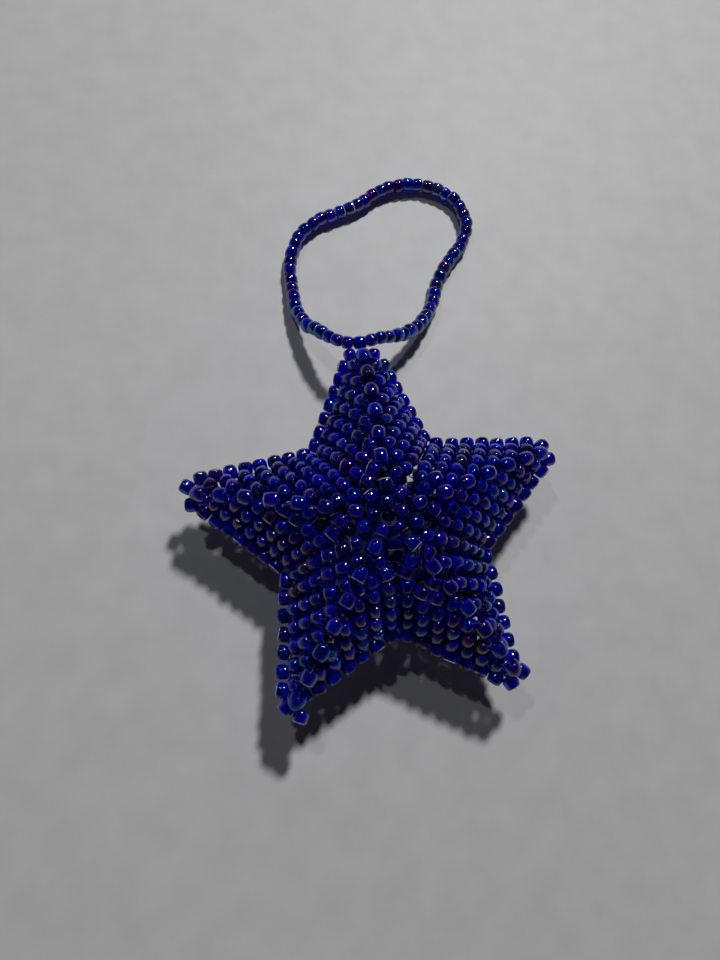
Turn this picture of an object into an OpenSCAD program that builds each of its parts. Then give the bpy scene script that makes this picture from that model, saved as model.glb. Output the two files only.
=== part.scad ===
// Puffed five-point star made of glass seed beads, with a beaded hanging loop.
// Each face is a ring of five beads and seven rounds; the outer ones run
// parallel to the outline and the inner ones are rounder.
// The two faces are sewn together by one more round, the edge, in the middle
// plane, which ends every arm with a pair of beads. Every bead's hole points
// outwards, square to the edge that it runs along. On each arm's ridge one bead
// per round sits proud of its neighbours.
// The origin is the star's centre in its middle plane. +Z is out of the front
// face and +Y runs along the arm that carries the loop.

/* [Beads] */
// outer diameter of a bead, mm
bead_d = 2.03; // [1.90:0.01:2.03]
// length of a bead along its hole, mm
bead_l = 1.46; // [1.40:0.02:1.46]
// diameter of the hole through a bead, mm
hole_d = 0.90; // [0.60:0.05:0.96]
// radius of the rounded rim of a bead, mm
rim_r = 0.42; // [0.42:0.02:0.46]

/* [Star] */
// distance from the centre to where the two edges of an even arm would meet, mm
tip_r = 30.0; // [29.8:0.1:30.1]
// distance from the centre to the edge round's corner in an even notch, mm
notch_r = 14.5; // [14.5:0.1:14.6]
// distance between two rounds along the surface, towards a notch, mm
round_pitch = 1.85; // [1.84:0.01:1.88]
// least distance between two beads of a round, mm
bead_pitch = 2.06; // [2.06:0.01:2.12]
// slope of the face at the centre, degrees
slope_centre = 8; // [7:0.5:9]
// slope of the face at its last round, degrees
slope_edge = 50; // [49:0.5:51]
// height of the last face round above the middle plane, mm
last_rise = 1.32; // [1.32:0.02:1.38]
// distance from the last face round out to the edge round, towards a notch, mm
edge_out_w = 1.58; // [1.56:0.02:1.62]
// how far a ridge bead stands proud of its round, mm
ridge_lift = 0.60; // [0.56:0.02:0.80]

/* [Centre and tips] */
// how far the second round's corners are pulled in, as a share of its size
pull_in = 0.18; // [0.16:0.01:0.20]
// distance from the centre to the five centre ring beads, mm
ring_r = 2.0; // [1.98:0.01:2.04]
// distance from the centre to the second round's beads on the arms, mm
second_r = 4.60; // [4.50:0.05:4.70]
// distance from the centre to the second round's beads between the arms, mm
second_notch_r = 3.75; // [3.70:0.05:3.80]
// distance from the centre to the last proud bead of an even arm, mm
crest_r = 25.6; // [25.5:0.1:25.7]
// distance from the centre to the two beads that end an even arm, mm
pair_r = 27.0; // [27.0:0.05:27.1]

/* [Hanging loop] */
// distance between two beads along the loop, mm
loop_pitch = 1.70; // [1.70:0.01:1.76]
// diameter of the loop's thread, mm
loop_thread_d = 0.36; // [0.30:0.02:0.40]
// distance from the hanger bead to the first bead of the loop, mm
loop_start = 1.82; // [1.80:0.02:1.90]

/* [Sewing thread] */
// diameter of the sewing thread, mm
thread_d = 0.18; // [0.14:0.02:0.20]
// depth of the thread rings under the middle of the beads, mm
thread_depth = 1.10; // [1.10:0.02:1.16]

/* [Hidden] */
$fn = 40;
second_w = 3.10;     // size of the second round, on the scale of the others

cobalt = [0.05, 0.06, 0.30];
violet = [0.16, 0.07, 0.34];
navy = [0.05, 0.07, 0.16];
rounds = 9;          // the ring, seven face rounds and the edge round
face_rounds = 8;

// The five arms are not quite even. Arm i points in arm_dir; its two edges would
// meet in the direction tip_dir, at tip_rel times the even arm's distance.
arm_dir = [18, 88.2, 163.5, 235.5, 303.5];
tip_dir = [18.4, 88, 162, 233.5, 302];
tip_rel = [1, 1.06, 1.01, 0.94, 0.955];
// Notch i lies between arm i and the next one.
notch_dir = [54, 125.5, 197, 270, 341.5];
notch_rel = [0.98, 1.01, 1.03, 0.985, 1];
// distance of the last proud bead and of the end pair, as a share of an even arm's
crest_rel = [1, 1, 1.01, 1.015, 1];
pair_rel = [[1, 1], [0.99, 0.985], [0.99, 1.03], [1.02, 1.01], [1, 1]];
// compass direction of the two beads of each end pair
pair_dir = [[20.3, 15.7], [92.2, 84.4], [166.2, 161.5], [238.4, 233.8],
            [305.9, 301.3]];

function polar(r, a) = [r * cos(a), r * sin(a)];
// the inner rounds are rounder: their corners are pulled in towards the centre
function pull(k) = 1 - pull_in * max(0, face_rounds - k) / (face_rounds - 2);
function tip(i, k) = polar(tip_r * tip_rel[i] * pull(k), tip_dir[i]);
function notch(i) = polar(notch_r * notch_rel[i], notch_dir[i]);

// ---- the face as a row of rounds --------------------------------------
// slope of the surface between round k and the next one
function step_slope(k) = slope_centre
    + (slope_edge - slope_centre) * max(0, k - 2) / (face_rounds - 3);
// distance of a round's bead centres from the centre, square to an edge
function round_w(k) = k == 1 ? ring_r : k == 2 ? second_w
    : k == rounds ? round_w(k - 1) + edge_out_w
    : round_w(k - 1) + round_pitch * cos(step_slope(k - 1));
// height of a round's bead centres
slope_rise = 1.62;  // rise of the surface per round on an upright slope
function round_z(k) = k == rounds ? 0 : k == face_rounds ? last_rise
    : round_z(k + 1) + (k == 1 ? 0.12 : slope_rise * sin(step_slope(k)));
// slope of a round's own beads
function round_dip(k) = k == rounds ? 0 : k == 1 ? 3
    : (step_slope(k - 1) + step_slope(k)) / 2;

last_w = round_w(rounds);
// size of a round as a share of the edge round
function share(k) = round_w(k) / last_w;

// ---- one edge: from the outer end of arm i to the notch on one side ----
function edge_notch(i, side) = side > 0 ? notch(i) : notch((i + 4) % 5);
function edge_len(i, side, k) = norm(tip(i, k) - edge_notch(i, side));
function edge_dir(i, side, k) =
    (edge_notch(i, side) - tip(i, k)) / edge_len(i, side, k);
// outward direction, square to the edge
function edge_out(i, side, k) =
    let (e = edge_dir(i, side, k), n = [e[1], -e[0]])
    n * tip(i, k) > 0 ? n : -n;
// distance of the edge from the centre
function edge_w(i, side, k) = edge_out(i, side, k) * tip(i, k);
function turn(a, b) = a[0] * b[1] - a[1] * b[0];
// run along an edge of size s to where it is g wide of the arm's middle line
function run_wide(k, s, i, side, g) =
    let (a = polar(1, arm_dir[i]))
    (g - side * turn(a, s * tip(i, k))) / (side * turn(a, edge_dir(i, side, k)));
// run along an edge of size s, height z, to where it is d away from point c
function run_clear(k, s, z, i, side, c, d) =
    let (v = [c[0], c[1]] - s * tip(i, k), e = edge_dir(i, side, k), foot = v * e,
         off2 = v * v - foot * foot + (c[2] - z) * (c[2] - z))
    off2 > d * d ? 0 : foot + sqrt(d * d - off2);

ridge_gap = 2.20;   // from a ridge bead to the beads beside it
inner_gap = 2.08;   // from the ridge bead of the round inside
ridge_half = 1.06;  // half of the space between the two beads beside a ridge
notch_gap = 1.31;   // from the notch line to the first bead

// the proud bead on the ridge of arm i
function ridge_bead(k, i) =
    let (dip = atan(tan(round_dip(k)) * (edge_w(i, 1, k) + edge_w(i, -1, k))
                    / 2 / norm(tip(i, k))),
         r = k == 2 ? second_r
             : crest_r * crest_rel[i] * pull(k) * share(k) / share(face_rounds),
         q = polar(r, arm_dir[i]))
    [q[0], q[1], round_z(k) + ridge_lift * cos(dip), arm_dir[i], dip];

// the two beads that end arm i in the edge round
function pair_bead(i, side) =
    let (j = side > 0 ? 0 : 1, q = polar(pair_r * pair_rel[i][j], pair_dir[i][j]))
    [q[0], q[1], 0, arm_dir[i] + side * 12, 0];

// bead places of one edge of round k: [x, y, z, direction, dip]
function edge_beads(k, i, side) =
    let (s = share(k), t = tip(i, k), e = edge_dir(i, side, k),
         n = edge_out(i, side, k), z = round_z(k),
         inner = ridge_bead(k - 1, i),
         first = k == rounds
            ? max(run_clear(k, s, z, i, side, pair_bead(i, side), 2.18),
                  run_clear(k, s, z, i, side, inner, inner_gap))
            : max(run_clear(k, s, z, i, side, ridge_bead(k, i), ridge_gap),
                  k > 2 ? run_clear(k, s, z, i, side, inner, inner_gap) : 0,
                  run_wide(k, s, i, side, ridge_half)),
         room = s * edge_len(i, side, k) - first - notch_gap,
         count = room < 0 ? 0 : floor(room / bead_pitch) + 1,
         gap = count > 1 ? room / (count - 1) : 0)
    [for (j = [0 : 1 : count - 1])
        let (q = s * t + e * (count > 1 ? first + j * gap : first + room / 2))
        [q[0], q[1], z, atan2(n[1], n[0]), round_dip(k)]];

function round_beads(k) = k == 1
    ? [for (i = [0 : 4]) let (q = polar(ring_r, 18 + 72 * i))
        [q[0], q[1], round_z(1), 18 + 72 * i, round_dip(1)]]
    : k == 2
    ? [for (i = [0 : 4]) each [ridge_bead(2, i),
        let (q = polar(second_notch_r, notch_dir[i]))
        [q[0], q[1], round_z(2), notch_dir[i], round_dip(2)]]]
    : [for (i = [0 : 4]) each concat(k == rounds ? [] : [ridge_bead(k, i)],
        edge_beads(k, i, 1), edge_beads(k, i, -1))];

// ---- one glass bead, its hole along Z ----------------------------------
// half section: the bore, two flat ends, two rounded rims and the waist
rim_steps = 3;
function rim(s) = [for (n = [0 : rim_steps])
    let (a = 90 * n / rim_steps)
    [bead_d / 2 - rim_r + rim_r * sin(a),
     s * (bead_l / 2 - rim_r + rim_r * cos(a))]];
bead_section = concat([[hole_d / 2, bead_l / 2]], rim(1),
    [for (n = [rim_steps : -1 : 0]) rim(-1)[n]],
    [[hole_d / 2, -bead_l / 2]]);
module bead() {
    rotate_extrude() polygon(bead_section);
}

// a bead whose hole points in a compass direction and dips below it
module placed_bead(p) {
    translate([p[0], p[1], p[2]]) rotate([0, 90 + p[4], p[3]]) bead();
}

module face_round(k) {
    for (p = round_beads(k)) placed_bead(p);
}

// ---- sewing thread: a thin star-shaped ring between two rounds ---------
// Its corners are the notches and, on each arm, two points that are ring_half
// wide of the arm's middle line or, near the end, as far out as the pair allows.
ring_half = 0.9;
function reach(i) = (pair_r * min(pair_rel[i]) - bead_l / 2 - 0.40) / seam_size;
function run_back(k, s, i, side) =
    let (a = polar(1, arm_dir[i]))
    (s * reach(i) - s * tip(i, k) * a) / (edge_dir(i, side, k) * a);
// corner j of a ring between rounds k and k + 1, of size s, grown sideways by g
function corner(k, j, s, g) =
    let (i = floor(j / 3), m = j % 3)
    m == 2
        ? let (n1 = edge_out(i, 1, k), n2 = edge_out((i + 1) % 5, -1, k),
               b = n1 + n2)
          notch(i) * s + b * (2 * g / (b * b))
        : let (side = m == 0 ? -1 : 1, n = edge_out(i, side, k),
               a = polar(1, arm_dir[i]), b = n + a)
          s * tip(i, k) + edge_dir(i, side, k)
              * max(run_back(k, s, i, side), run_wide(k, s, i, side, ring_half))
          + b * (g * 2 / (b * b));

// size of the ring that binds the inner ends of the edge round
seam_size = 1 - (bead_l / 2 + 0.34) / last_w;

module thread_ring(k, s, z, d) {
    sides = 8;
    n = 15;
    pts = [for (j = [0 : n - 1]) for (a = [0 : sides - 1])
        let (c = corner(k, j, s, d / 2 * cos(360 * a / sides)))
        [c[0], c[1], z + d / 2 * sin(360 * a / sides)]];
    faces = [for (j = [0 : n - 1]) for (a = [0 : sides - 1])
        let (b = (a + 1) % sides, k = (j + 1) % n)
        [j * sides + a, j * sides + b, k * sides + b, k * sides + a]];
    polyhedron(pts, faces, convexity = 6);
}

function ring_size(k) = (share(k) + share(k + 1)) / 2
    - thread_depth * sin(step_slope(k)) / last_w;
function ring_height(k) = (round_z(k) + round_z(k + 1)) / 2
    - thread_depth * cos(step_slope(k));

module face_thread() {
    translate([0, 0, round_z(1)])
        rotate_extrude()
            translate([ring_r - bead_l / 2 - thread_d, 0])
                circle(d = thread_d);
    for (k = [2 : face_rounds - 1])
        thread_ring(k + 0.5, ring_size(k), ring_height(k), thread_d);
}

// ---- tips and hanger ----------------------------------------------------
hanger_arm = 1;
hanger_r = 28.7;
hanger = [polar(hanger_r, 88.5)[0], polar(hanger_r, 88.5)[1], 0];

// ---- the hanging loop ----------------------------------------------------
// The strand leaves the hanger bead to the right, comes down on to the table
// level, runs round the loop and climbs back to the hanger bead's left side.
lie_z = -6.5;
route = [
    [0.8, 28.7, 0], [2.7, 29, 0], [4.3, 29.5, -0.5], [7, 30.4, -2],
    [11, 32.8, -4.4], [14.6, 37.3, -6.1], [16.2, 41.3, lie_z],
    [19, 45.5, lie_z], [22.2, 49.5, lie_z], [23.5, 53.2, lie_z],
    [22.3, 57.6, lie_z], [18.4, 60.5, lie_z], [13.3, 61.3, lie_z],
    [8.8, 60, lie_z], [5, 57.6, lie_z], [-0.5, 55.8, lie_z],
    [-5, 53, lie_z], [-7.4, 48, lie_z], [-7.9, 42.4, -6.3],
    [-7.5, 37.8, -5.4], [-6.2, 34.2, -3.7], [-4.3, 31.6, -1.9],
    [-2.7, 29.9, -0.7], [-1.1, 28.9, -0.1], [0.7, 28.7, 0]
];
fine = 12;

function spline_at(p, i, u) =
    let (n = len(p), a = p[i], b = p[i + 1],
         ta = i == 0 ? (b - a) : (p[i + 1] - p[i - 1]) / 2,
         tb = i == n - 2 ? (b - a) : (p[i + 2] - p[i]) / 2)
    a * (2 * u * u * u - 3 * u * u + 1) + ta * (u * u * u - 2 * u * u + u)
    + b * (3 * u * u - 2 * u * u * u) + tb * (u * u * u - u * u);

curve = [for (i = [0 : len(route) - 2]) for (u = [0 : fine - 1])
            spline_at(route, i, u / fine),
         route[len(route) - 1]];
// running length at each point of the curve
function run_to(c, i = 1, acc = [0]) = i >= len(c) ? acc
    : run_to(c, i + 1, concat(acc, [acc[i - 1] + norm(c[i] - c[i - 1])]));
run = run_to(curve);
loop_len = run[len(run) - 1];
table_x = [for (i = [0 : len(run) - 1]) [run[i], curve[i][0]]];
table_y = [for (i = [0 : len(run) - 1]) [run[i], curve[i][1]]];
table_z = [for (i = [0 : len(run) - 1]) [run[i], curve[i][2]]];
function along(s) = [lookup(s, table_x), lookup(s, table_y),
                     lookup(s, table_z)];
function heading(s) =
    let (d = along(min(loop_len, s + 0.5)) - along(max(0, s - 0.5)))
    d / norm(d);

loop_room = loop_len - 2 * loop_start;
loop_count = floor(loop_room / loop_pitch) + 1;
loop_gap = loop_room / (loop_count - 1);

module strung_bead(s) {
    t = heading(s);
    translate(along(s)) rotate([0, acos(t[2]), atan2(t[1], t[0])]) bead();
}

module thread_tube() {
    sides = 8;
    rings = 80;
    r = loop_thread_d / 2;
    pts = [for (i = [0 : rings - 1])
        let (s = loop_len * i / (rings - 1), t = heading(s),
             u = cross(t, [0, 0, 1]) / norm(cross(t, [0, 0, 1])),
             v = cross(u, t))
        for (a = [0 : sides - 1])
            along(s) + r * (u * cos(360 * a / sides)
                            + v * sin(360 * a / sides))];
    faces = concat(
        [[for (a = [sides - 1 : -1 : 0]) a]],
        [for (i = [0 : rings - 2]) for (a = [0 : sides - 1])
            let (b = (a + 1) % sides)
            [i * sides + a, i * sides + b, (i + 1) * sides + b,
             (i + 1) * sides + a]],
        [[for (a = [0 : sides - 1]) (rings - 1) * sides + a]]);
    polyhedron(pts, faces, convexity = 8);
}

// ---- one module per node -------------------------------------------------
module front_centre_ring() color(cobalt) face_round(1);
module front_round_02() color(cobalt) face_round(2);
module front_round_03() color(violet) face_round(3);
module front_round_04() color(cobalt) face_round(4);
module front_round_05() color(violet) face_round(5);
module front_round_06() color(cobalt) face_round(6);
module front_round_07() color(violet) face_round(7);
module front_round_08() color(cobalt) face_round(8);
module edge_round() color(violet) face_round(9);
module back_centre_ring() color(cobalt) mirror([0, 0, 1]) face_round(1);
module back_round_02() color(cobalt) mirror([0, 0, 1]) face_round(2);
module back_round_03() color(violet) mirror([0, 0, 1]) face_round(3);
module back_round_04() color(cobalt) mirror([0, 0, 1]) face_round(4);
module back_round_05() color(violet) mirror([0, 0, 1]) face_round(5);
module back_round_06() color(cobalt) mirror([0, 0, 1]) face_round(6);
module back_round_07() color(violet) mirror([0, 0, 1]) face_round(7);
module back_round_08() color(cobalt) mirror([0, 0, 1]) face_round(8);
module tip_beads() color(cobalt)
    for (i = [0 : 4]) for (side = [1, -1]) placed_bead(pair_bead(i, side));
module hanger_bead() color(violet)
    translate(hanger) rotate([0, 90, 0]) bead();
module front_thread() color(navy) face_thread();
module back_thread() color(navy) mirror([0, 0, 1]) face_thread();
module seam_thread() color(navy)
    thread_ring(rounds, seam_size, 0, thread_d);
module hanging_loop_beads() color(cobalt)
    for (n = [0 : loop_count - 1]) strung_bead(loop_start + n * loop_gap);
module hanging_loop_thread() color(navy) thread_tube();

front_centre_ring();
front_round_02();
front_round_03();
front_round_04();
front_round_05();
front_round_06();
front_round_07();
front_round_08();
edge_round();
back_centre_ring();
back_round_02();
back_round_03();
back_round_04();
back_round_05();
back_round_06();
back_round_07();
back_round_08();
tip_beads();
hanger_bead();
front_thread();
back_thread();
seam_thread();
hanging_loop_beads();
hanging_loop_thread();
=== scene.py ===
"""Looks of the beaded star: camera, the loop's thread, glass beads, threads, table and light.

Everything is in metres, in the model's own frame: +Z out of the front face, +Y along
the arm that carries the hanging loop, origin at the star's centre.
"""

import math

import bpy
import numpy as np
from mathutils import Matrix, Vector


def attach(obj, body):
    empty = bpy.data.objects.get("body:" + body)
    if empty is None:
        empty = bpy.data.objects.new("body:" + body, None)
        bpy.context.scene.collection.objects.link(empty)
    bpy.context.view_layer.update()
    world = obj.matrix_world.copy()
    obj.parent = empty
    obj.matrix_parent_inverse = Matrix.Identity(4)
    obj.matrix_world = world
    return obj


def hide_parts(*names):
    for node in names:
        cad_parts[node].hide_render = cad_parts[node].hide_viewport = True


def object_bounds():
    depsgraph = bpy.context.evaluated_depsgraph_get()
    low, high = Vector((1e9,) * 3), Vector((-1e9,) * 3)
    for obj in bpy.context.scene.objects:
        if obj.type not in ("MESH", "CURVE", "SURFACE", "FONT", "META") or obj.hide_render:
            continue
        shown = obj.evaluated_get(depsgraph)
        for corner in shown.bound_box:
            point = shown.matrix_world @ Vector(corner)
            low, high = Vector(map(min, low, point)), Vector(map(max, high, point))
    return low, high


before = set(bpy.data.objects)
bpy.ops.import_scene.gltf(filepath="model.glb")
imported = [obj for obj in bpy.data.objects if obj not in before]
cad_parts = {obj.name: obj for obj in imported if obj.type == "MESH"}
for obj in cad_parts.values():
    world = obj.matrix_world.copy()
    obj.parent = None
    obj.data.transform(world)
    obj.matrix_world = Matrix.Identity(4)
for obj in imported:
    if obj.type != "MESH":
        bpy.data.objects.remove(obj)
cad_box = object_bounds()
MM = 0.001
rng = np.random.default_rng(24)
scene = bpy.context.scene

# ------------------------------------------------------------------ camera
cam_data = bpy.data.cameras.new("camera")
cam_data.sensor_fit = "VERTICAL"
cam_data.sensor_height = 32.0
cam_data.sensor_width = 24.0
cam_data.lens = 24.0
cam_data.clip_start = 0.005
cam_data.clip_end = 10.0
cam = bpy.data.objects.new("camera", cam_data)
scene.collection.objects.link(cam)
cam.matrix_world = Matrix((
    (0.984975, 0.107548, -0.135119, -0.016152),
    (-0.140598, 0.953720, -0.265802, -0.020052),
    (0.100280, 0.280806, 0.954511, 0.098069),
    (0.0, 0.0, 0.0, 1.0),
))
scene.camera = cam

# ------------------------------------------------------------------ the loop's thread
LIE_Z = -6.5
ROUTE = [
    (0.8, 28.7, 0), (2.7, 29, 0), (4.3, 29.5, -0.5), (7, 30.4, -2),
    (11, 32.8, -4.4), (14.6, 37.3, -6.1), (16.2, 41.3, LIE_Z),
    (19, 45.5, LIE_Z), (22.2, 49.5, LIE_Z), (23.5, 53.2, LIE_Z),
    (22.3, 57.6, LIE_Z), (18.4, 60.5, LIE_Z), (13.3, 61.3, LIE_Z),
    (8.8, 60, LIE_Z), (5, 57.6, LIE_Z), (-0.5, 55.8, LIE_Z),
    (-5, 53, LIE_Z), (-7.4, 48, LIE_Z), (-7.9, 42.4, -6.3),
    (-7.5, 37.8, -5.4), (-6.2, 34.2, -3.7), (-4.3, 31.6, -1.9),
    (-2.7, 29.9, -0.7), (-1.1, 28.9, -0.1), (0.7, 28.7, 0),
]
THREAD_D = 0.36 * MM


def spline(points, fine=12):
    p = np.array(points, float)
    n = len(p)
    out = []
    for i in range(n - 1):
        a, b = p[i], p[i + 1]
        ta = (b - a) if i == 0 else (p[i + 1] - p[i - 1]) / 2
        tb = (b - a) if i == n - 2 else (p[i + 2] - p[i]) / 2
        for u in np.arange(fine) / fine:
            out.append(a * (2 * u**3 - 3 * u**2 + 1) + ta * (u**3 - 2 * u**2 + u)
                       + b * (3 * u**2 - 2 * u**3) + tb * (u**3 - u**2))
    out.append(p[-1])
    return np.array(out) * MM


route = spline(ROUTE)


# ------------------------------------------------------------------ materials
def new_material(name):
    m = bpy.data.materials.new(name)
    m.use_nodes = True
    nt = m.node_tree
    nt.nodes.clear()
    return m, nt


def node(nt, kind, **values):
    n = nt.nodes.new(kind)
    for k, v in values.items():
        setattr(n, k, v)
    return n


def ramp_node(nt, stops, constant=False):
    n = node(nt, "ShaderNodeValToRGB")
    el = n.color_ramp.elements
    el[0].position, el[0].color = stops[0][0], (*stops[0][1], 1)
    el[1].position, el[1].color = stops[-1][0], (*stops[-1][1], 1)
    for p, c in stops[1:-1]:
        e = el.new(p)
        e.color = (*c, 1)
    return n


def mix_colour(nt, fac, a, b, blend="MIX"):
    n = node(nt, "ShaderNodeMix", data_type="RGBA", blend_type=blend)
    nt.links.new(fac, n.inputs["Factor"])
    nt.links.new(a, n.inputs[6])
    nt.links.new(b, n.inputs[7])
    return n.outputs[2]


def glass_material(name, coat, film_ior, tint):
    """Cobalt glass under a thin iridescent coating. Each bead has its own shade and its
    own coating thickness, held in the mesh as the attributes shade and film. A painted
    highlight runs along the rolled rim of a bead's outer end: a thin pale line that also
    glows, standing in for light gathered inside the glass; the attribute rim holds it."""
    m, nt = new_material(name)
    out = node(nt, "ShaderNodeOutputMaterial")
    bsdf = node(nt, "ShaderNodeBsdfPrincipled")
    bsdf.inputs["Roughness"].default_value = 0.035
    bsdf.inputs["IOR"].default_value = 1.54
    bsdf.inputs["Specular Tint"].default_value = (*tint, 1.0)
    bsdf.inputs["Thin Film IOR"].default_value = film_ior
    bsdf.inputs["Coat Weight"].default_value = coat
    bsdf.inputs["Coat IOR"].default_value = 1.6
    bsdf.inputs["Coat Roughness"].default_value = 0.03
    shade = node(nt, "ShaderNodeAttribute", attribute_name="shade")
    film = node(nt, "ShaderNodeAttribute", attribute_name="film")
    rim = node(nt, "ShaderNodeAttribute", attribute_name="rim")
    body = ramp_node(nt, [
        (0.00, (0.0004, 0.0006, 0.44)), (0.30, (0.0005, 0.001, 0.74)), (0.58, (0.0008, 0.002, 0.95)),
        (0.78, (0.001, 0.008, 0.98)), (0.84, (0.008, 0.001, 0.72)), (0.90, (0.030, 0.003, 0.46)),
        (0.935, (0.090, 0.020, 0.12)), (0.965, (0.002, 0.050, 0.66)), (1.00, (0.0004, 0.0006, 0.36))])
    nt.links.new(shade.outputs["Fac"], body.inputs["Fac"])
    # painted shade: random darker patches inside every bead stand in for the dark patches that refraction makes
    # in the glass
    pos = node(nt, "ShaderNodeTexCoord")
    patch_noise = node(nt, "ShaderNodeTexNoise")
    patch_noise.inputs["Scale"].default_value = 1100.0
    patch_noise.inputs["Detail"].default_value = 2.0
    nt.links.new(pos.outputs["Object"], patch_noise.inputs["Vector"])
    # painted shade: how far the noise darkens the glass colour
    dark = ramp_node(nt, [(0.38, (0.06, 0.07, 0.12)), (0.50, (0.70, 0.74, 0.82)), (0.60, (1, 1, 1))])
    nt.links.new(patch_noise.outputs["Fac"], dark.inputs["Fac"])
    mul = node(nt, "ShaderNodeMix", data_type="RGBA", blend_type="MULTIPLY")
    mul.inputs["Factor"].default_value = 1.0
    nt.links.new(body.outputs["Color"], mul.inputs[6])
    nt.links.new(dark.outputs["Color"], mul.inputs[7])
    # colours of the painted rim highlight and its glow
    rim_glint_colour = ramp_node(nt, [
        (0.00, (0.80, 0.36, 0.44)), (0.35, (0.92, 0.70, 0.48)), (0.60, (0.46, 0.26, 0.85)),
        (0.80, (0.08, 0.48, 0.95)), (1.00, (0.85, 0.80, 0.46))])
    nt.links.new(film.outputs["Fac"], rim_glint_colour.inputs["Fac"])
    # painted highlight: a thin pale line along the rim, broken up by noise
    ragged = node(nt, "ShaderNodeMapRange")
    ragged.inputs["From Min"].default_value = 0.36
    ragged.inputs["From Max"].default_value = 0.50
    nt.links.new(patch_noise.outputs["Fac"], ragged.inputs["Value"])
    line = node(nt, "ShaderNodeMapRange")
    line.inputs["From Min"].default_value = 0.66
    line.inputs["From Max"].default_value = 0.86
    nt.links.new(rim.outputs["Fac"], line.inputs["Value"])
    rim_glint_mask = node(nt, "ShaderNodeMath", operation="MULTIPLY")
    nt.links.new(line.outputs["Result"], rim_glint_mask.inputs[0])
    nt.links.new(ragged.outputs["Result"], rim_glint_mask.inputs[1])
    # the painted rim highlight replaces the glass colour along its line
    nt.links.new(mix_colour(nt, rim_glint_mask.outputs[0], mul.outputs[2], rim_glint_colour.outputs["Color"]),
                 bsdf.inputs["Base Color"])
    # the painted highlight line is less clear than the body
    clear = node(nt, "ShaderNodeMapRange")
    clear.inputs["To Min"].default_value = 0.75
    clear.inputs["To Max"].default_value = 0.20
    nt.links.new(rim_glint_mask.outputs[0], clear.inputs["Value"])
    nt.links.new(clear.outputs["Result"], bsdf.inputs["Transmission Weight"])
    # painted glow: the line emits light of its own, standing in for light gathered inside the bead
    painted_glow = node(nt, "ShaderNodeMath", operation="MULTIPLY")
    painted_glow.inputs[1].default_value = 0.17
    nt.links.new(rim_glint_mask.outputs[0], painted_glow.inputs[0])
    nt.links.new(rim_glint_colour.outputs["Color"], bsdf.inputs["Emission Color"])
    nt.links.new(painted_glow.outputs[0], bsdf.inputs["Emission Strength"])
    # the coating's thickness varies over each bead as well
    noise = node(nt, "ShaderNodeTexNoise")
    noise.inputs["Scale"].default_value = 700.0
    noise.inputs["Detail"].default_value = 2.0
    nt.links.new(pos.outputs["Object"], noise.inputs["Vector"])
    span = node(nt, "ShaderNodeMapRange")
    span.inputs["To Min"].default_value = 132.0
    span.inputs["To Max"].default_value = 270.0
    nt.links.new(film.outputs["Fac"], span.inputs["Value"])
    drift = node(nt, "ShaderNodeMath", operation="MULTIPLY_ADD")
    drift.inputs[1].default_value = 50.0
    nt.links.new(noise.outputs["Fac"], drift.inputs[0])
    nt.links.new(span.outputs["Result"], drift.inputs[2])
    nt.links.new(drift.outputs[0], bsdf.inputs["Thin Film Thickness"])
    # slight waviness of drawn and fire-rounded glass
    bump = node(nt, "ShaderNodeBump")
    bump.inputs["Strength"].default_value = 0.10
    bump.inputs["Distance"].default_value = 0.00006
    fine = node(nt, "ShaderNodeTexNoise")
    fine.inputs["Scale"].default_value = 1800.0
    nt.links.new(pos.outputs["Object"], fine.inputs["Vector"])
    nt.links.new(fine.outputs["Fac"], bump.inputs["Height"])
    nt.links.new(bump.outputs["Normal"], bsdf.inputs["Normal"])
    nt.links.new(bsdf.outputs["BSDF"], out.inputs["Surface"])
    return m


def thread_material():
    """Fine waxed multifilament thread, dark blue, with a twist along its run."""
    m, nt = new_material("beading_thread")
    out = node(nt, "ShaderNodeOutputMaterial")
    bsdf = node(nt, "ShaderNodeBsdfPrincipled")
    bsdf.inputs["Roughness"].default_value = 0.55
    bsdf.inputs["Sheen Weight"].default_value = 0.05
    pos = node(nt, "ShaderNodeTexCoord")
    wave = node(nt, "ShaderNodeTexWave", wave_type="BANDS", bands_direction="DIAGONAL")
    wave.inputs["Scale"].default_value = 2200.0
    wave.inputs["Distortion"].default_value = 1.5
    nt.links.new(pos.outputs["Object"], wave.inputs["Vector"])
    ramp = node(nt, "ShaderNodeValToRGB")
    el = ramp.color_ramp.elements
    el[0].color = (0.004, 0.005, 0.022, 1)
    el[1].color = (0.010, 0.012, 0.060, 1)
    nt.links.new(wave.outputs["Fac"], ramp.inputs["Fac"])
    nt.links.new(ramp.outputs["Color"], bsdf.inputs["Base Color"])
    bump = node(nt, "ShaderNodeBump")
    bump.inputs["Strength"].default_value = 0.4
    bump.inputs["Distance"].default_value = 0.00003
    nt.links.new(wave.outputs["Fac"], bump.inputs["Height"])
    nt.links.new(bump.outputs["Normal"], bsdf.inputs["Normal"])
    nt.links.new(bsdf.outputs["BSDF"], out.inputs["Surface"])
    return m


glass = glass_material("bead_glass", 0.45, 1.86, (0.50, 0.56, 1.0))
loop_glass = glass_material("loop_bead_glass", 0.70, 1.98, (0.34, 0.52, 1.0))
thread_mat = thread_material()


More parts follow.
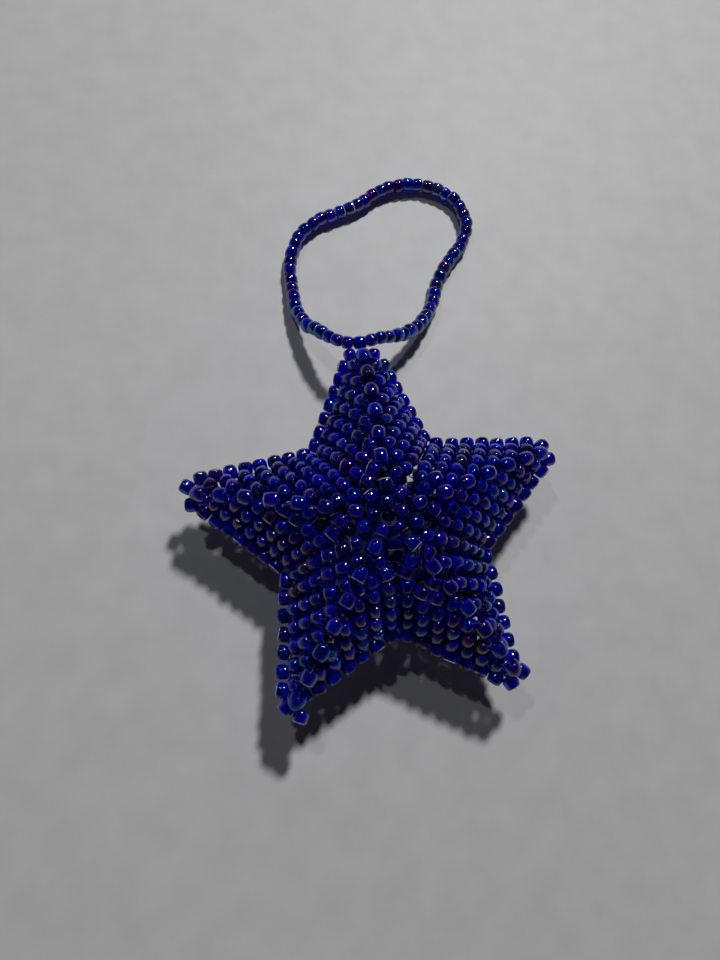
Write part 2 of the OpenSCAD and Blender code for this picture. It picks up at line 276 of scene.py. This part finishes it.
# ------------------------------------------------------------------ reading the beads' places
def bead_places(name):
    """Centre and hole direction of every bead of a CAD node, from its mesh's separate parts."""
    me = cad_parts[name].data
    co = np.zeros(len(me.vertices) * 3)
    me.vertices.foreach_get("co", co)
    co = co.reshape(-1, 3)
    key, inverse = np.unique(np.round(co / 2e-7).astype(np.int64), axis=0, return_inverse=True)
    inverse = inverse.ravel()
    pts = key * 2e-7
    me.calc_loop_triangles()
    tri = np.zeros(len(me.loop_triangles) * 3, np.int64)
    me.loop_triangles.foreach_get("vertices", tri)
    tri = inverse[tri.reshape(-1, 3)]
    e0 = np.concatenate([tri[:, 0], tri[:, 1], tri[:, 2]])
    e1 = np.concatenate([tri[:, 1], tri[:, 2], tri[:, 0]])
    label = np.arange(len(pts))
    while True:
        low = np.minimum(label[e0], label[e1])
        new = label.copy()
        np.minimum.at(new, e0, low)
        np.minimum.at(new, e1, low)
        new = new[new]
        if (new == label).all():
            break
        label = new
    out = []
    for k in np.unique(label):
        p = pts[label == k]
        lo, hi = p.min(0), p.max(0)
        c = p.mean(0)
        w, v = np.linalg.eigh(np.cov((p - c).T))
        # the hole's direction is the one whose spread differs from the other two
        i = 0 if abs(w[1] - w[0]) > abs(w[2] - w[1]) else 2
        axis = v[:, i]
        along = (p - c) @ axis
        c = c + axis * (along.max() + along.min()) / 2
        out.append((c, axis, (along.max() - along.min())))
    return out


# ------------------------------------------------------------------ one glass bead
BEAD_R = 1.065 * MM
BEAD_L = 1.72 * MM
BORE_R = 0.40 * MM
TURN = 20
PROFILE = 20


def bead_section(r_out, length, bore):
    """Closed half section of a drawn, fire-rounded bead: a soft barrel with rolled ends."""
    mid, a, b = (r_out + bore) / 2, (r_out - bore) / 2, length / 2
    pts = []
    for t in np.radians(np.arange(0, 360, 360 / PROFILE)):
        c, s = math.cos(t), math.sin(t)
        n = 2 / 2.16
        pts.append((mid + a * math.copysign(abs(c) ** n, c),
                    b * math.copysign(abs(s) ** n, s)))
    return pts


def frame_of(axis):
    z = Vector(axis).normalized()
    x = z.orthogonal().normalized()
    return x, z.cross(x), z


def rim_weight(i):
    """How far profile point i belongs to the rolled rim of the outer end."""
    return 1.0 if i == 3 else 0.0


def add_bead(store, centre, axis, shade, film, rim=0.0, r=BEAD_R, length=BEAD_L,
             spin=0.0, squash=0.0):
    """One bead. squash makes it a little oval, as drawn glass tube is."""
    x, y, z = frame_of(axis)
    sec = bead_section(r, length, BORE_R)
    base = len(store["co"])
    for i in range(TURN):
        a = 2 * math.pi * i / TURN
        d = x * math.cos(a) + y * math.sin(a)
        oval = 1 - squash * (0.5 + 0.5 * math.cos(2 * (a - spin)))
        for k, (rr, hh) in enumerate(sec):
            store["co"].append(Vector(centre) + d * (rr * oval) + z * hh)
            store["shade"].append(shade)
            store["film"].append(film)
            store["rim"].append(rim * rim_weight(k))
    m = len(sec)
    for i in range(TURN):
        j = (i + 1) % TURN
        for k in range(m):
            l = (k + 1) % m
            store["faces"].append((base + i * m + k, base + j * m + k,
                                   base + j * m + l, base + i * m + l))


def tube(store, points, radius, sides=8, cap=True):
    """A round tube along a run of points, carried without twisting."""
    p = [Vector(q) for q in points]
    base = len(store["co"])
    n = len(p)
    side = None
    for i in range(n):
        t = (p[min(i + 1, n - 1)] - p[max(i - 1, 0)]).normalized()
        side = t.orthogonal() if side is None else side
        side = (side - t * side.dot(t)).normalized()
        up = t.cross(side)
        for a in range(sides):
            w = 2 * math.pi * a / sides
            store["co"].append(p[i] + (side * math.cos(w) + up * math.sin(w)) * radius)
    for i in range(n - 1):
        for a in range(sides):
            b = (a + 1) % sides
            store["faces"].append((base + i * sides + a, base + i * sides + b,
                                   base + (i + 1) * sides + b, base + (i + 1) * sides + a))
    if cap:
        store["faces"].append(tuple(base + a for a in reversed(range(sides))))
        store["faces"].append(tuple(base + (n - 1) * sides + a for a in range(sides)))


def build(name, store, material):
    me = bpy.data.meshes.new(name)
    me.from_pydata([tuple(c) for c in store["co"]], [], store["faces"])
    for key in ("shade", "film", "rim"):
        if store.get(key):
            at = me.attributes.new(key, "FLOAT", "POINT")
            at.data.foreach_set("value", store[key])
    me.polygons.foreach_set("use_smooth", [True] * len(me.polygons))
    me.materials.append(material)
    me.update()
    ob = bpy.data.objects.new(name, me)
    scene.collection.objects.link(ob)
    return ob


def empty_store():
    return {"co": [], "faces": [], "shade": [], "film": [], "rim": []}


passes = empty_store()
PASS_R = 0.11 * MM


HINGE = Vector((0.75, 28.69, 0)) * MM
ARMS = (18.0, 88.2, 163.5, 235.5, 303.5)


def on_ridge(axis):
    """True for the proud beads, whose holes point straight along an arm."""
    a = math.degrees(math.atan2(axis[1], axis[0])) % 360
    return min(abs(a - b) for b in ARMS) < 0.6


def to_ridge(c):
    """The way from a bead to the nearest arm's ridge line, in the plane of the star."""
    a = math.atan2(c[1], c[0])
    b = min((math.radians(d) for d in ARMS),
            key=lambda d: abs(math.remainder(a - d, 2 * math.pi)))
    u = Vector((math.cos(b), math.sin(b), 0))
    p = Vector((c[0], c[1], 0))
    return u * p.dot(u) - p


def bead_piece(cad_node, body, tilt=4.5, wander=0.045, vary=0.04, sewn=True, stretch=1.0,
               thick=1.0):
    store = empty_store()
    for c, axis, _ in bead_places(cad_node):
        if axis[0] * c[0] + axis[1] * c[1] < 0:
            axis = -axis
        x, y, z = frame_of(axis)
        t = math.radians(tilt)
        axis2 = z + x * rng.normal(0, t) + y * rng.normal(0, t)
        c2 = Vector(c) + Vector(rng.normal(0, wander * MM, 3))
        proud = sewn and "round" in cad_node and on_ridge(axis)
        near = 0.0
        if sewn and "round" in cad_node and cad_node != "edge_round":
            # beads beside a ridge are drawn towards it by the thread, the ridge bead sits down
            off = to_ridge(c)
            near = math.exp(-max(0.0, off.length / MM - 1.8) / 2.5) if off.length > 0.8 * MM else 0.0
            if proud:
                c2.z -= math.copysign(0.28 * MM, c[2])
            elif near:
                c2 += off.normalized() * (0.20 * near * MM)
        length = BEAD_L * stretch * float(np.clip(rng.normal(1.0, vary), 0.9, 1.06))
        # the beads that pass each other when the loop swings keep their CAD size and place
        tight = (cad_node in ("tip_beads", "hanging_loop_beads")
                 and (Vector(c) - HINGE).length < 6.5 * MM)
        if proud:
            length *= 1.20
            c2 = c2 - axis2.normalized() * 0.10 * MM
        if tight:
            c2, axis2, length = Vector(c), z, min(length, 1.58 * MM)
        # rim sets how strong the painted rim highlight and glow are on this bead
        add_bead(store, c2, axis2, float(rng.uniform()), float(rng.uniform()),
                 rim=float(np.clip(rng.normal(0.70, 0.28), 0.0, 1.0)),
                 r=1.005 * MM if tight else BEAD_R * thick * (1.10 if proud else 1 + 0.05 * near)
                 * float(np.clip(rng.normal(1.0, 0.018), 0.95, 1.03)),
                 length=length, spin=float(rng.uniform(0, 6.28)),
                 squash=float(rng.uniform(0, 0.05)))
        if sewn:
            # the thread's own pass through the bead, seated to one side of the bore
            off = (x * math.cos(rng.uniform(0, 6.28)) + y * math.sin(rng.uniform(0, 6.28))) * 0.15 * MM
            z2 = axis2.normalized()
            h = length / 2 + (-0.10 if tight else 0.10) * MM
            tube(passes, [c2 + off * 0.4 - z2 * h, c2 + off - z2 * h * 0.5, c2 + off + z2 * h * 0.5,
                          c2 + off * 0.4 + z2 * h], PASS_R, sides=6)
    ob = build(cad_node.replace("_beads", "") + "_glass", store, glass if sewn or body == "star" else loop_glass)
    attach(ob, body)
    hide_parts(cad_node)
    return ob


star_nodes = [n for side in ("front", "back")
              for n in [side + "_centre_ring"] + [f"{side}_round_{k:02d}" for k in range(2, 9)]]
star_nodes += ["edge_round", "tip_beads", "hanger_bead"]
for n in star_nodes:
    bead_piece(n, "star", sewn=n != "hanger_bead", stretch=1.22 if n == "hanger_bead" else 1.0)
star_passes = build("sewing_passes", passes, thread_mat)
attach(star_passes, "star")

loop_beads = bead_piece("hanging_loop_beads", "hanging_loop", tilt=6.0, wander=0.07,
                        vary=0.06, sewn=False, stretch=1.06, thick=1.06)
loop_store = empty_store()
tube(loop_store, route, THREAD_D / 2, sides=10)
loop_thread = build("loop_thread", loop_store, thread_mat)
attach(loop_thread, "hanging_loop")
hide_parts("hanging_loop_thread")

for n in ("front_thread", "back_thread", "seam_thread"):
    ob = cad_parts[n]
    ob.data.materials.clear()
    ob.data.materials.append(thread_mat)

# ------------------------------------------------------------------ table
floor_z = cad_box[0][2]


def table_material():
    m, nt = new_material("pale_table")
    out = node(nt, "ShaderNodeOutputMaterial")
    bsdf = node(nt, "ShaderNodeBsdfPrincipled")
    bsdf.inputs["Roughness"].default_value = 0.55
    pos = node(nt, "ShaderNodeTexCoord")
    noise = node(nt, "ShaderNodeTexNoise")
    noise.inputs["Scale"].default_value = 220.0
    noise.inputs["Detail"].default_value = 6.0
    nt.links.new(pos.outputs["Object"], noise.inputs["Vector"])
    ramp = node(nt, "ShaderNodeValToRGB")
    el = ramp.color_ramp.elements
    el[0].position, el[0].color = 0.3, (0.60, 0.597, 0.605, 1)
    el[1].position, el[1].color = 0.7, (0.65, 0.647, 0.655, 1)
    nt.links.new(noise.outputs["Fac"], ramp.inputs["Fac"])
    nt.links.new(ramp.outputs["Color"], bsdf.inputs["Base Color"])
    nt.links.new(bsdf.outputs["BSDF"], out.inputs["Surface"])
    return m


def make_floor():
    n, half = 24, 1.2
    g = np.linspace(-half, half, n)
    co = [(x, y, floor_z - 0.00030) for y in g for x in g]
    faces = [(j * n + i, j * n + i + 1, (j + 1) * n + i + 1, (j + 1) * n + i)
             for j in range(n - 1) for i in range(n - 1)]
    ob = build("table", {"co": co, "faces": faces}, table_material())


make_floor()


# ------------------------------------------------------------------ light
def area_light(name, azimuth, elevation, distance, size, power, colour=(1, 1, 1)):
    """A square light that looks at the star. azimuth is counted from +X towards +Y."""
    a, e = math.radians(azimuth), math.radians(elevation)
    d = Vector((math.cos(a) * math.cos(e), math.sin(a) * math.cos(e), math.sin(e)))
    data = bpy.data.lights.new(name, "AREA")
    data.shape = "DISK"
    data.size = size
    data.energy = power
    data.color = colour
    ob = bpy.data.objects.new(name, data)
    scene.collection.objects.link(ob)
    ob.location = d * distance
    ob.rotation_euler = (-d).to_track_quat("-Z", "Y").to_euler()
    ob.visible_camera = False
    return ob


area_light("key", 64, 49, 1.1, 0.12, 7.3, (1.0, 1.0, 1.0))
area_light("second", 118, 60, 0.60, 0.028, 0.27, (0.92, 0.97, 1.0))
world = bpy.data.worlds.new("studio")
scene.world = world
world.use_nodes = True
wt = world.node_tree
bg = wt.nodes["Background"]
# a dim room above; the pale backdrop below the table's level lights the underside
# when the star is looked at from behind
sky = node(wt, "ShaderNodeTexCoord")
split = node(wt, "ShaderNodeSeparateXYZ")
wt.links.new(sky.outputs["Generated"], split.inputs["Vector"])
level = ramp_node(wt, [(0.46, (0.62, 0.62, 0.64)), (0.50, (0.150, 0.138, 0.136)),
                       (0.66, (0.044, 0.037, 0.036)), (0.80, (0.008, 0.007, 0.008))])
lift = node(wt, "ShaderNodeMapRange")
lift.inputs["From Min"].default_value = -1.0
lift.inputs["From Max"].default_value = 1.0
wt.links.new(split.outputs["Z"], lift.inputs["Value"])
wt.links.new(lift.outputs["Result"], level.inputs["Fac"])
wt.links.new(level.outputs["Color"], bg.inputs["Color"])
bg.inputs["Strength"].default_value = 1.0

scene.view_settings.view_transform = "Standard"

# ------------------------------------------------------------------ end
bpy.context.view_layer.update()
